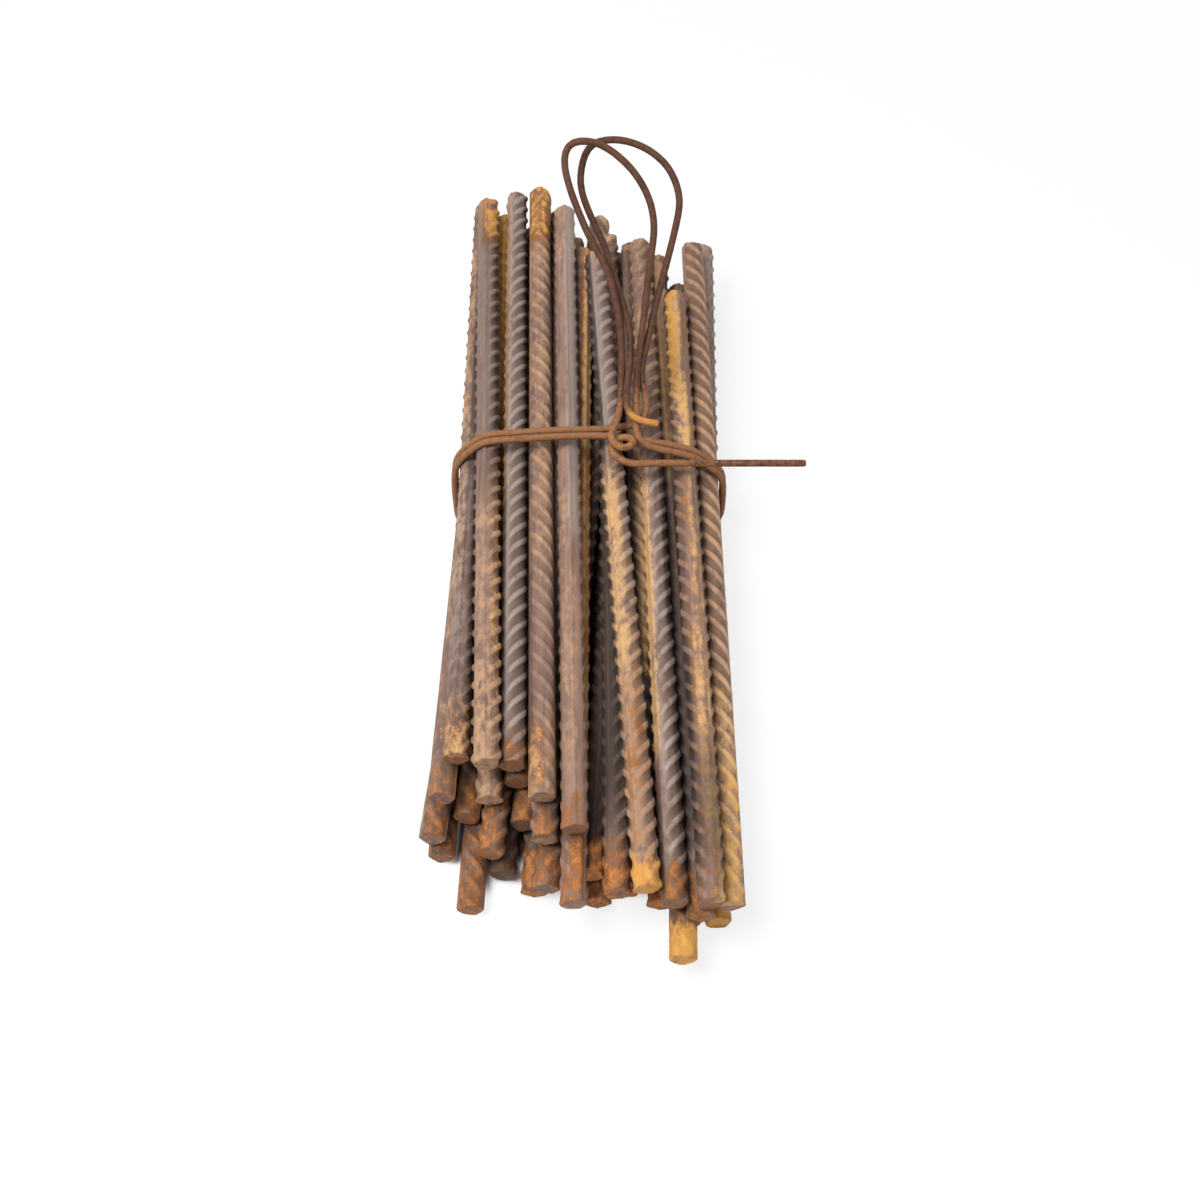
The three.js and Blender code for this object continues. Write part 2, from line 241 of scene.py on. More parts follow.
RIBS = {
    "bar_19": (9.8, 0.8, 0.6, 0.97), "bar_20": (9.8, 0.9, 0.4, 0.4),
    "bar_23": (10.2, 0.7, 0.5, 0.5), "bar_24": (9.8, 0.9, 0.3, 0.3),
    "bar_26": (10.2, 0.9, 0.5, 0.3), "bar_27": (10.2, 0.8, 0.6, 0.8),
    "bar_28": (9.8, 0.9, 0.6, 0.97), "bar_29": (9.4, 1.35, 0.4, 0.97),
    "bar_30": (9.7, 1.05, 0.12, 0.5), "bar_31": (9.8, 0.7, 0.12, 0.12),
    "bar_32": (9.8, 0.6, 0.85, 0.9), "bar_33": (9.5, 1.0, 0.25, 0.35),
    "bar_34": (9.6, 0.95, 0.3, 0.5), "bar_35": (9.8, 0.95, 0.6, 0.5),
    "bar_36": (9.7, 1.2, 0.15, 0.15),
}

# A dark patch is grime and painted shade: it darkens flanks that neighbouring bars shade.
PATCHES = {
    "bar_01": [("orange", 0, ALL_ROUND, 0, 22, 0.6), ("tan", 0, ALL_ROUND, 0, 60, 0.3)],
    "bar_02": [("orange", 0, ALL_ROUND, 0, 44, 0.65), ("grey", 30, 60, 10, 60, 0.3)],
    "bar_03": [("orange", 0, ALL_ROUND, 0, 12, 0.35), ("dark", 0, ALL_ROUND, 0, 60, 0.4)],
    "bar_10": [("orange", 10, 60, 0, 38, 0.62), ("tan", -30, 60, 0, 60, 0.4)],
    "bar_11": [("orange", 0, ALL_ROUND, 0, 20, 0.75), ("tan", 0, ALL_ROUND, 0, 30, 0.5)],
    "bar_12": [("orange", 0, ALL_ROUND, 0, 40, 0.7), ("tan", 0, ALL_ROUND, 0, 60, 0.4)],
    "bar_13": [("orange", 0, ALL_ROUND, 0, 22, 0.6)],
    "bar_14": [("orange", 0, ALL_ROUND, 0, 28, 0.62)],
    "bar_17": [("yellow", 0, ALL_ROUND, 0, 15, 0.85), ("orange", 0, ALL_ROUND, 0, 26, 0.6),
               ("dark", 0, ALL_ROUND, 18, 70, 0.5), ("grey", 0, ALL_ROUND, 26, 160, 0.4)],
    "bar_18": [("yellow", 0, ALL_ROUND, 0, 18, 0.75), ("orange", 0, ALL_ROUND, 0, 44, 0.6)],
    "bar_19": [("tan", -45, 35, 0, 300, 0.4), ("orange", 0, ALL_ROUND, 0, 16, 0.6)],
    "bar_20": [("orange", 45, 60, 120, 380, 0.9), ("yellow", 10, 80, 210, 380, 0.95),
               ("straw", 10, 80, 210, 380, 1.0), ("tan", 0, ALL_ROUND, 0, 30, 0.7)],
    "bar_21": [("orange", 0, ALL_ROUND, 0, 16, 0.65), ("tan", 0, ALL_ROUND, 0, 30, 0.4)],
    "bar_22": [("tan", 0, ALL_ROUND, 0, 26, 0.4), ("orange", 0, 50, 0, 20, 0.6)],
    "bar_23": [("orange", 62, 60, 50, 400, 1.3), ("straw", 62, 50, 230, 390, 0.9),
               ("straw", 62, 50, 50, 250, 0.45), ("orange", 20, 40, 10, 30, 0.8),
               ("orange", -20, 60, 0, 16, 0.65)],
    "bar_24": [("orange", 0, ALL_ROUND, 0, 20, 0.8), ("dark", -35, 70, 30, 260, 0.8),
               ("tan", 40, 40, 20, 120, 0.4)],
    "bar_25": [("straw", 24, 40, 110, 240, 1.1), ("orange", 24, 40, 110, 240, 0.5),
               ("orange", 0, ALL_ROUND, 0, 20, 0.7), ("dark", -46, 54, 60, 240, 0.7)],
    "bar_26": [("tan", 0, 110, 235, 390, 1.2), ("straw", 0, 100, 240, 370, 0.3),
               ("dark", 0, ALL_ROUND, 30, 225, 0.8), ("orange", 0, ALL_ROUND, 0, 20, 0.7)],
    "bar_27": [("grey", 0, ALL_ROUND, 0, 400, 0.7)],
    "bar_28": [("tan", 0, ALL_ROUND, 0, 30, 0.5), ("orange", 0, ALL_ROUND, 0, 22, 0.6),
               ("straw", 10, 80, 0, 20, 0.4), ("tan", -50, 40, 90, 330, 0.5),
               ("grey", 0, 80, 30, 200, 0.35)],
    "bar_29": [("orange", 58, 32, 20, 165, 0.5), ("straw", 56, 34, 12, 165, 0.4),
               ("tan", 60, 40, 12, 165, 0.6), ("tan", 0, 80, 0, 150, 0.3),
               ("tan", 0, ALL_ROUND, 0, 60, 0.65), ("grey", -20, 60, 170, 350, 0.5),
               ("dark", 0, ALL_ROUND, 140, 345, 0.36), ("dark", 76, 32, 165, 335, 0.7),
               ("yellow", 48, 55, 338, 375, 0.75), ("orange", 30, 70, 325, 378, 0.55)],
    "bar_30": [("tan", -52, 30, 150, 380, 0.8), ("grey", 25, 65, 0, 380, 0.9),
               ("dark", 75, 35, 20, 330, 0.4), ("orange", 0, ALL_ROUND, 0, 16, 0.5)],
    "bar_31": [("tan", 0, ALL_ROUND, 110, 400, 0.5), ("orange", 0, 90, 345, 400, 0.8),
               ("straw", -12, 60, 350, 400, 0.3), ("yellow", 0, 80, 350, 400, 0.3),
               ("orange", -28, 46, 2, 36, 0.8), ("straw", -32, 40, 4, 34, 0.5),
               ("tan", 0, ALL_ROUND, 0, 40, 0.5)],
    "bar_32": [("grey", 40, 44, 150, 390, 1.1), ("tan", 0, ALL_ROUND, 340, 400, 0.4),
               ("tan", -20, 50, 20, 200, 0.3), ("orange", 0, ALL_ROUND, 0, 14, 0.5)],
    "bar_33": [("straw", -24, 42, 90, 215, 0.55), ("yellow", 0, ALL_ROUND, 0, 13, 0.9),
               ("tan", -15, 80, 0, 220, 0.7), ("grey", -10, 60, 225, 370, 0.85),
               ("grey", 50, 40, 120, 230, 0.5), ("orange", -10, 60, 0, 120, 0.4),
               ("dark", -82, 24, 60, 210, 0.5), ("dark", -66, 36, 225, 385, 0.85)],
    "bar_34": [("straw", -64, 38, 75, 230, 0.95), ("grey", 20, 60, 10, 230, 0.6),
               ("dark", 72, 40, 120, 240, 0.7), ("dark", 72, 40, 10, 110, 0.5),
               ("orange", 0, ALL_ROUND, 0, 16, 0.6), ("tan", 0, ALL_ROUND, 240, 400, 0.3)],
    "bar_35": [("straw", -38, 46, 262, 385, 0.95), ("yellow", -38, 34, 270, 380, 0.6),
               ("straw", -8, 46, 240, 290, 0.8), ("yellow", -8, 34, 244, 290, 0.45),
               ("orange", 10, 70, 150, 385, 0.45), ("straw", 22, 40, 30, 165, 0.36),
               ("straw", 30, 36, 150, 235, 0.38), ("straw", 52, 36, 0, 80, 0.45),
               ("orange", 52, 36, 0, 80, 0.6), ("tan", 10, 80, 50, 190, 0.4),
               ("orange", 14, 60, 0, 210, 0.4), ("dark", 80, 26, 150, 240, 0.6),
               ("dark", -72, 34, 10, 130, 0.75), ("dark", 0, ALL_ROUND, 8, 75, 0.5),
               ("orange", 0, ALL_ROUND, 0, 18, 0.5)],
    "bar_36": [("tan", 0, 95, 0, 250, 0.62), ("orange", 10, 80, 0, 85, 0.5),
               ("straw", -5, 80, 0, 100, 0.8), ("yellow", 20, 80, 0, 70, 0.3),
               ("dark", -56, 32, 60, 240, 0.3), ("tan", 10, 70, 230, 400, 0.6)],
}
COLOURS = ("yellow", "orange", "tan", "grey", "dark", "straw")      # dark is grime and painted shade
RUSTS = COLOURS[1:4]
SPARE_PATCHES = 4                # on a bar that has none of its own
EDGE_FADE = 0.35                 # share of its half width that a patch's sides fade over
END_FADE = 0.25                  # share of its length that its two ends fade over
LONGEST_FADE = 24.0              # millimetres

# How bright a bar's scale is against the usual colour: partly the bar's own tone, partly painted
# light and shade. Bars not named lie deep in the bundle and get a darker scale, as painted shade.
DEEP_SHADE_TONE = 0.42
TONES_AND_LIGHT = {
    "bar_01": 0.72, "bar_02": 0.78, "bar_03": 0.42, "bar_10": 0.78, "bar_11": 0.8, "bar_12": 0.8,
    "bar_13": 0.7, "bar_14": 0.75, "bar_17": 0.8, "bar_18": 0.8, "bar_19": 0.7, "bar_20": 0.85,
    "bar_21": 0.8, "bar_22": 0.8, "bar_23": 0.95, "bar_24": 0.7, "bar_25": 0.7, "bar_26": 1.1,
    "bar_27": 1.0, "bar_28": 0.58, "bar_29": 0.86, "bar_30": 0.72, "bar_31": 0.97, "bar_32": 0.93,
    "bar_33": 0.88, "bar_34": 0.85, "bar_35": 0.9, "bar_36": 1.1,
}


def bar_number(name):
    """The number at the end of a bar's name."""
    return int(name[-2:])


def patches_of(name, length):
    """A bar's own patches, and for a bar without them a few that follow its number.

    Every bar also has dry rust at its far end and along its underside.
    """
    if name in PATCHES:
        own = PATCHES[name]
    else:
        draw = np.random.default_rng(bar_number(name))
        own = [("orange", 0, ALL_ROUND, 0, draw.uniform(6, 22), draw.uniform(0.6, 1.1))]
        for _ in range(SPARE_PATCHES):
            start = draw.uniform(0, length * 0.8)
            own.append((str(draw.choice(RUSTS)), draw.uniform(-180, 180),
                        draw.uniform(25, 70), start, start + draw.uniform(40, 160),
                        draw.uniform(0.4, 0.9)))
    return own + [("tan", 0, ALL_ROUND, length - 9, length + 5, 0.55),
                  ("tan", 180, 75, -5, length + 5, 0.35)]


# ---- reading the solids ------------------------------------------------------------------------


def corners_and_faces(node):
    """A node's distinct corners and, for each loose triangle, the numbers of its corners."""
    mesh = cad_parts[node].data
    loose = np.empty(len(mesh.vertices) * 3, np.float32)
    mesh.vertices.foreach_get("co", loose)
    loops = np.empty(len(mesh.loops), np.int32)
    mesh.loops.foreach_get("vertex_index", loops)
    grid = np.round(loose.reshape(-1, 3).astype(float), MERGE_DECIMALS)
    corners, number = np.unique(grid, axis=0, return_inverse=True)
    return corners, number.reshape(-1)[loops].reshape(-1, 3)


def unit(vectors):
    """The vectors, each divided by its length."""
    return vectors / np.linalg.norm(vectors, axis=-1, keepdims=True)


def bar_line(node):
    """Near end, far end and long-rib angle of a bar, from its solid.

    The centre of an end is the mean of its corners. The corners farthest from it are the long
    rib's, and their angle is taken from the top towards +X, between -45 and 135 degrees.
    """
    corners, _ = corners_and_faces(node)
    is_near = corners[:, 1] < corners[:, 1].mean()
    near, far = corners[is_near].mean(0), corners[~is_near].mean(0)
    right, top, _ = bar_axes(near, far)
    offsets = corners[is_near] - near
    farthest = offsets[np.argmax(np.linalg.norm(offsets, axis=1))]
    rib = offsets[offsets @ farthest > CREST_SHARE * (farthest @ farthest)].mean(0)
    angle = math.atan2(rib @ right, rib @ top)
    return near, far, (angle + math.pi / 4) % math.pi - math.pi / 4


def bar_axes(near, far):
    """Right, top and forward directions of a bar: forward along it, right as level as can be."""
    forward = unit(far - near)
    right = unit(np.array([1.0, 0.0, 0.0]) - forward[0] * forward)
    return right, np.cross(right, forward), forward


def wire_line():
    """The centre of each ring of the wire's solid, in order from the straight free end.

    The first ring is the end face farthest towards +X. Each next ring is the set of corners that
    share a triangle with the last one and have not been used.
    """
    corners, faces = corners_and_faces(WIRE_NODE)
    neighbours = [set() for _ in corners]
    for triangle in faces:
        for corner in triangle:
            neighbours[corner].update(int(other) for other in triangle)
    end_face = corners[:, 0] > corners[:, 0].max() - END_FACE
    ring = {int(number) for number in np.nonzero(end_face)[0]}
    used = set()
    centres = []
    while ring:
        centres.append(corners[sorted(ring)].mean(0))
        used |= ring
        ring = set().union(*(neighbours[number] for number in ring)) - used
    return np.array(centres)


LINES = {name: bar_line(name) for name in BAR_NODES}


# ---- surfaces ----------------------------------------------------------------------------------


def smooth(low, high, value):
    """0 below low, 1 above high, and a smooth step between them."""
    share = np.clip((value - low) / (high - low), 0, 1)
    return share * share * (3 - 2 * share)


def closed_tube(name, rings, poles, attributes):
    """A closed mesh from rings of points and one pole at each end, with its point attributes.

    rings has the shape (rings, points round, 3), and the points run clockwise as seen along it.
    Quads join each ring to the next one, and triangles join the first and the last to the poles.
    """
    count, around = rings.shape[:2]
    numbers = np.arange(count * around).reshape(count, around)
    turned = np.roll(numbers, -1, axis=1)
    quads = np.stack([numbers[:-1], numbers[1:], turned[1:], turned[:-1]], -1).reshape(-1, 4)
    first = np.full(around, count * around)
    fans = np.concatenate([
        np.stack([first, numbers[0], turned[0]], -1),
        np.stack([first + 1, turned[-1], numbers[-1]], -1),
    ])
    points = np.concatenate([rings.reshape(-1, 3), np.asarray(poles)])
    loops = np.concatenate([quads.ravel(), fans.ravel()])
    sizes = np.concatenate([np.full(len(quads), 4), np.full(len(fans), 3)])
    mesh = bpy.data.meshes.new(name)
    mesh.vertices.add(len(points))
    mesh.vertices.foreach_set("co", points.astype(np.float32).ravel())
    mesh.loops.add(len(loops))
    mesh.loops.foreach_set("vertex_index", loops.astype(np.int32))
    mesh.polygons.add(len(sizes))
    mesh.polygons.foreach_set("loop_start", (np.cumsum(sizes) - sizes).astype(np.int32))
    mesh.update(calc_edges=True)
    mesh.polygons.foreach_set("use_smooth", np.ones(len(sizes), bool))
    for key, values in attributes.items():
        values = np.asarray(values, np.float32)
        ends = np.stack([values[0].mean(0), values[-1].mean(0)])
        flat = np.concatenate([values.reshape(count * around, -1), ends.reshape(2, -1)])
        kind, field = ("FLOAT_COLOR", "color") if flat.shape[1] == 4 else ("FLOAT", "value")
        attribute = mesh.attributes.new(key, kind, "POINT")
        attribute.data.foreach_set(field, flat.ravel())
    mesh.validate()
    piece = bpy.data.objects.new(name, mesh)
    bpy.context.scene.collection.objects.link(piece)
    return piece


def crevice_shade(points, own):
    """How deep each point lies in the gaps between bars, from 0 in the open to 1 at a contact; the
    bar's colour is darkened by it, as painted shade.

    It falls off smoothly with the gap to the nearest other bar: the distance from the point to
    that bar's centre line, less its radius. CREVICE_SHARE of it falls off over the narrow reach,
    and the rest over the wide one.
    """
    deepest = np.zeros(points.shape[:-1])
    for name, (near, far, _) in LINES.items():
        if name == own:
            continue
        axis = far - near
        share = np.clip((points - near) @ axis / (axis @ axis), 0, 1)
        gap = np.linalg.norm(points - near - share[..., None] * axis, axis=-1) - BAR_RADIUS
        contact = 1 - smooth(0, CREVICE, gap)
        sheltered = 1 - smooth(0, SHELTER, gap)
        deepest = np.maximum(deepest, CREVICE_SHARE * contact + (1 - CREVICE_SHARE) * sheltered)
    return deepest


def paint_patches(patches, angle, along):
    """Strength of each of the colours at each point, one channel for each.

    A patch is full in its middle. Round the bar it fades out over EDGE_FADE of its half width to
    either side of its edge. Along the bar it fades over END_FADE of its length to either side of
    each end, or over twice that where it starts at the bar's end, and never over more than
    LONGEST_FADE.
    """
    channels = np.zeros(along.shape + (len(COLOURS),))
    for colour, middle, half, start, end, strength in patches:
        off = np.abs((angle - math.radians(middle) + math.pi) % math.tau - math.pi)
        edge = math.radians(half)
        across = 1.0
        if half < ALL_ROUND:
            across = 1 - smooth(edge * (1 - EDGE_FADE), edge * (1 + EDGE_FADE), off)
        share = END_FADE if start > 0 else 2 * END_FADE
        fade = min(LONGEST_FADE, share * (end - start))
        lengthways = smooth(start - fade, start + fade, along) if start > 0 else 1.0
        lengthways = lengthways * (1 - smooth(end - fade, end + fade, along))
        index = COLOURS.index(colour)
        channels[..., index] = np.maximum(channels[..., index], strength * across * lengthways)
    return channels


def round_angles():
    """Angles round a bar from its long rib: close together over the rib, even between."""
    half = np.concatenate([-BESIDE_RIB[::-1], BESIDE_RIB, BETWEEN_RIBS])
    return np.concatenate([half, half + math.pi])


def ring_distances(length, pitch, phase):
    """Distances of a bar's rings from its near end: a set for each rib, and two for each end."""
    ribs = np.arange(-2, length / pitch + 2)
    along = (ribs[:, None] * pitch + phase + RIB_RINGS * pitch / USUAL_PITCH).ravel()
    along = along[(along > BARE_END) & (along < length - BARE_END)]
    end = np.array([bpy.context.scene.bar_sizes.chamfer, FIRST_RING])
    return np.concatenate([end, along, length - end[::-1]])


def rolled_pattern(name, from_rib, turn):
    """Height of the ribs over the core at each point, and the point's relief.

    from_rib is the distance along the bar from the middle of the nearest slanting rib. Such a
    rib's height is a smooth step from its foot to its crest, times the root of the sine of the
    angle from the long rib, counted from the part of the flank that stays bare. A long rib is
    a smooth step of that angle, and the slanting ribs stop at it. The relief is the slanting rib's
    step, and tends to OPEN_RELIEF where the ribs are low or missing.
    """
    sizes = bpy.context.scene.bar_sizes
    _, height, bare_right, bare_left = RIBS.get(name, PLAIN_RIBS)
    rib = 1 - smooth(sizes.crest, sizes.foot, from_rib)
    bare = np.where(np.sin(turn) > 0, bare_right, bare_left)
    flank = np.sqrt(np.clip((np.abs(np.sin(turn)) - bare) / (1 - bare), 0, 1))
    off_seam = np.abs((turn + math.pi / 2) % math.pi - math.pi / 2)
    seam = 1 - smooth(*LONG_RIB, off_seam)
    ribbed = flank * (1 - seam)
    lowest = OPEN_RELIEF * (1 - min(1.0, height * height))
    relief = np.maximum(rib * ribbed + OPEN_RELIEF * (1 - ribbed), lowest)
    return sizes.seam * seam + height * sizes.rib * rib * ribbed, relief


def dents(draw, distance, turn):
    """Small unevenness of the rolled surface: a sum of a few low waves."""
    total = np.zeros_like(distance)
    for _ in range(DENT_WAVES):
        count = int(draw.integers(1, 5))
        wave = draw.uniform(*DENT_LENGTHS)
        total += np.sin(distance * math.tau / wave + count * turn + draw.uniform(0, math.tau))
    return total * DENT


def cut_end(draw, edge, angle):
    """Radii of the rings over a cut end, from its middle out, and how far its points stand off it.

    The last ring is the edge less the chamfer. The end is a plane that leans a little, with a
    random roughness.
    """
    sizes = bpy.context.scene.bar_sizes
    lean = draw.uniform(-CUT_LEAN, CUT_LEAN, 2)
    radii = np.concatenate([CAP_RINGS[:, None] * edge, (edge - sizes.chamfer)[None]])
    plane = (np.sin(angle) * lean[0] + np.cos(angle) * lean[1]) * radii / sizes.core
    return radii, plane + draw.uniform(-CUT_ROUGHNESS, CUT_ROUGHNESS, radii.shape)


def ribbed_bar(name):
    """A ribbed bar as a function of the angle round it and of the distance along it.

    Radius = core + rolled pattern + dents. The slanting ribs start at a long rib and lean away on
    both sides of it, by `slant` over half a turn. The rings lean with them, by a triangle wave of
    the angle, and stand square at the two ends.
    """
    sizes = bpy.context.scene.bar_sizes
    near, far, rib_angle = LINES[name]
    right, top, forward = bar_axes(near, far)
    draw = np.random.default_rng(bar_number(name) + BAR_SEED)
    pitch = RIBS.get(name, PLAIN_RIBS)[0] * MM
    length = float(np.linalg.norm(far - near))
    phase = draw.uniform(0, pitch)

    turn = round_angles()
    along = ring_distances(length, pitch, phase)
    lean = sizes.slant * (0.5 - np.abs(np.abs(turn) / math.pi - 1))
    settle = 2 * sizes.slant
    hold = smooth(0, settle, along) * smooth(0, settle, length - along)
    distance = along[:, None] + lean * hold[:, None]
    from_rib = np.abs((distance - lean - phase + pitch / 2) % pitch - pitch / 2)
    pattern, relief = rolled_pattern(name, from_rib, turn)
    radius = sizes.core + pattern + dents(draw, distance, turn)

    angle = rib_angle + turn
    outward = np.sin(angle)[:, None] * right + np.cos(angle)[:, None] * top

    def placed(distance, radius):
        return near + distance[..., None] * forward + radius[..., None] * outward

    near_radii, near_offsets = cut_end(draw, radius[0], angle)
    far_radii, far_offsets = cut_end(draw, radius[-1], angle)
    near_cap = placed(near_offsets, near_radii)
    far_cap = placed(length + far_offsets, far_radii)
    rings = np.concatenate([near_cap, placed(distance, radius), far_cap[::-1]])
    poles = [near_cap[0].mean(0), far_cap[0].mean(0)]

    caps = (len(near_cap), len(far_cap))
    paint = paint_patches(patches_of(name, length / MM), angle, distance / MM)
    paint = np.pad(paint, (caps, (0, 0), (0, 0)), mode="edge")
    relief = np.pad(relief, (caps, (0, 0)), constant_values=CUT_RELIEF)
    attributes = {
        # grime and painted shade of the dark patches
        "paint": paint[..., :4], "grime_and_shade": paint[..., COLOURS.index("dark")],
        "straw": paint[..., COLOURS.index("straw")], "relief": relief,
        # the crevice value is painted shade in the gaps between bars
        "tone_and_light": np.full_like(relief, TONES_AND_LIGHT.get(name, DEEP_SHADE_TONE)), "crevice_shade": crevice_shade(rings, name),
    }
    rings[..., 2] = np.maximum(rings[..., 2], 0)
    return closed_tube(name + ".ribbed", rings, poles, attributes)


def along_line(points):
    """Distance along a line at each of its points."""
    steps = np.linalg.norm(np.diff(points, axis=0), axis=1)
    return np.concatenate([[0.0], np.cumsum(steps)])


def resample(points, step):
    """Points at even distances on the line, smoothed by averaging each with its neighbours."""
    for _ in range(2):
        inner = points[:-2] * 0.25 + points[1:-1] * 0.5 + points[2:] * 0.25
        points = np.concatenate([points[:1], inner, points[-1:]])
    travelled = along_line(points)
    places = np.linspace(0, travelled[-1], int(travelled[-1] / step) + 1)
    return np.stack([np.interp(places, travelled, points[:, axis]) for axis in range(3)], 1)


def carried_sides(points):
    """Two directions square to the line at each point, carried along it without twist."""
    tangents = unit(np.gradient(points, axis=0))
    side = unit(np.cross(tangents[0], [0.0, 0.0, 1.0]))
    sides = [side]
    for tangent in tangents[1:]:
        side = unit(side - (side @ tangent) * tangent)
        sides.append(side)
    sides = np.array(sides)
    return sides, np.cross(tangents, sides)


def tie_wire():
    """The wire: a circle carried along the line of its solid.

    Its radius is uneven by a sum of low waves of the distance and the angle. At the two ends it
    drops by WIRE_ROUNDING, in a smooth step over the bevel.
    """
    sizes = bpy.context.scene.wire_sizes
    points = resample(wire_line(), sizes.step)
    sides, ups = carried_sides(points)
    turn = np.linspace(0, math.tau, WIRE_SIDES, endpoint=False)
    travelled = along_line(points)
    draw = np.random.default_rng(WIRE_SEED)
    uneven = np.zeros((len(points), WIRE_SIDES))
    for _ in range(WIRE_WAVES):
        wave = draw.uniform(*WIRE_LENGTHS)
        uneven += np.sin(travelled[:, None] * math.tau / wave
                         + int(draw.integers(1, 4)) * turn + draw.uniform(0, math.tau))
    from_end = np.minimum(travelled, travelled[-1] - travelled)
    rounding = 1 - WIRE_ROUNDING * (1 - smooth(0, WIRE_BEVEL, from_end))
    radius = sizes.radius * (1 + WIRE_UNEVENNESS * uneven) * rounding[:, None]
    outward = (np.cos(turn)[None, :, None] * sides[:, None]
               + np.sin(turn)[None, :, None] * ups[:, None])
    rings = points[:, None] + radius[..., None] * outward
    rings[..., 2] = np.maximum(rings[..., 2], 0)
    rust, rubbed = wire_wear(points)
    attributes = {"rust": np.repeat(rust[:, None], WIRE_SIDES, axis=1),
                  "rubbed": np.repeat(rubbed[:, None], WIRE_SIDES, axis=1)}
    return closed_tube(WIRE_NODE + ".round", rings, [points[0], points[-1]], attributes)


def wire_wear(points):
    """Share of fresh rust and share of rubbed, pale wire along the line, each from 0 to 1.

    Fresh rust is full at the short end, and fades away round the curl of the knot. The band and
    the knot are rubbed, the tail less so, and the raised loops not at all.
    """
    travelled = along_line(points)
    curl = (travelled > TAIL_RUN) & (travelled < TAIL_RUN + CURL_RUN)
    knot = points[curl].mean(0)
    short_end = 1 - smooth(*SHORT_END, travelled[-1] - travelled)
    away = np.linalg.norm(points - knot, axis=1)
    near_knot = np.exp(-((away / KNOT_REACH) ** 2))
    low = 1 - smooth(*RUBBED_HEIGHT, points[:, 2] - knot[2])
    past_tail = smooth(TAIL_RUN * TAIL_START, TAIL_RUN, travelled)
    rubbed = low * (TAIL_RUBBED + (1 - TAIL_RUBBED) * past_tail)
    return np.maximum(short_end, KNOT_RUST * near_knot), rubbed


# ---- shader maths ------------------------------------------------------------------------------


def fill(tree, socket, value):
    """Links what nodes work out to a socket, or writes a plain value on it."""
    if isinstance(value, Socket):
        tree.links.new(value.socket, socket)
    else:
        socket.default_value = value


class Socket:
    """A socket of a node tree; arithmetic on it adds the nodes that do the sum.

    With no socket of its own it only adds nodes.
    """

    def __init__(self, tree, socket=None):
        self.tree = tree
        self.socket = socket

    def node(self, kind, settings=None, **values):
        """Adds a node with its settings, then fills its sockets; gives the node.

        A socket is named by i and its number, or by its name with _ for a space.
        """
        made = self.tree.nodes.new(kind)
        for key, value in (settings or {}).items():
            setattr(made, key, value)
        for key, value in values.items():
            numbered = key[0] == "i" and key[1:].isdigit()
            fill(self.tree, made.inputs[int(key[1:]) if numbered else key.replace("_", " ")],
                 value)
        return made

    def wrap(self, made, output=0):
        """One of a node's outputs."""
        return Socket(self.tree, made.outputs[output])

    def sum(self, operation, left, right=0.0):
        """A Math node's result for one or two numbers."""
        return self.wrap(self.node("ShaderNodeMath", {"operation": operation}, i0=left, i1=right))

    def __add__(self, other):
        return self.sum("ADD", self, other)

    __radd__ = __add__

    def __sub__(self, other):
        return self.sum("SUBTRACT", self, other)

    def __rsub__(self, other):
        return self.sum("SUBTRACT", other, self)

    def __mul__(self, other):
        return self.sum("MULTIPLY", self, other)

    __rmul__ = __mul__

    def step(self, low, high):
        """0 below low, 1 above high, smooth between."""
        made = self.node("ShaderNodeMapRange", {"interpolation_type": "SMOOTHSTEP"},
                         i0=self, i1=low, i2=high)
        return self.wrap(made)

    def blend(self, under, over):
        """The colour under where self is 0 and the colour over where it is 1."""
        made = self.node("ShaderNodeMix", {"data_type": "RGBA"}, i0=self, i6=under, i7=over)
        return self.wrap(made, 2)

    def shade(self, colour):
        """A colour multiplied by self."""
        made = self.node("ShaderNodeVectorMath", {"operation": "SCALE"}, i0=colour, i3=self)
        return self.wrap(made)

    def noise(self, scale, detail=3.0, roughness=0.6):
        """Noise with self as its coordinates; scale in features per metre."""
        made = self.node("ShaderNodeTexNoise", None, Vector=self, Scale=scale, Detail=detail,
                         Roughness=roughness)
        return self.wrap(made)

    def drawn_out(self, share):
        """The place with its distance along the bars times share, which draws a pattern out."""
        made = self.node("ShaderNodeMapping", None, Vector=self, Scale=(1.0, share, 1.0))
        return self.wrap(made)

    def place(self):
        """The place on the piece, in Object coordinates."""
        return self.wrap(self.node("ShaderNodeTexCoord"), 3)

    def attribute(self, name):
        """A point attribute of one number."""
        return self.wrap(self.node("ShaderNodeAttribute", {"attribute_name": name}), 2)

    def seen(self):
        """1 for what the camera or a gloss sees, and 0 for the light that falls on things."""
        path = self.node("ShaderNodeLightPath")
        return self.sum("MAXIMUM", self.wrap(path, 0), self.wrap(path, 3))


def new_material(name):
    """A material with nothing in it but its output and one Principled shader."""
    material = bpy.data.materials.new(name)
    material.use_nodes = True
    maths = Socket(material.node_tree)
    maths.tree.nodes.clear()
    output = maths.node("ShaderNodeOutputMaterial")
    shader = maths.node("ShaderNodeBsdfPrincipled")
    maths.tree.links.new(shader.outputs[0], output.inputs[0])
    return material, maths, shader


def feed(maths, shader, **sockets):
    """Fills a shader's sockets, named with _ for a space."""
    for key, value in sockets.items():
        fill(maths.tree, shader.inputs[key.replace("_", " ")], value)


def opaque(colour, share=1.0):
    """A colour times a share, with full alpha."""
    return (*(share * value for value in colour), 1.0)


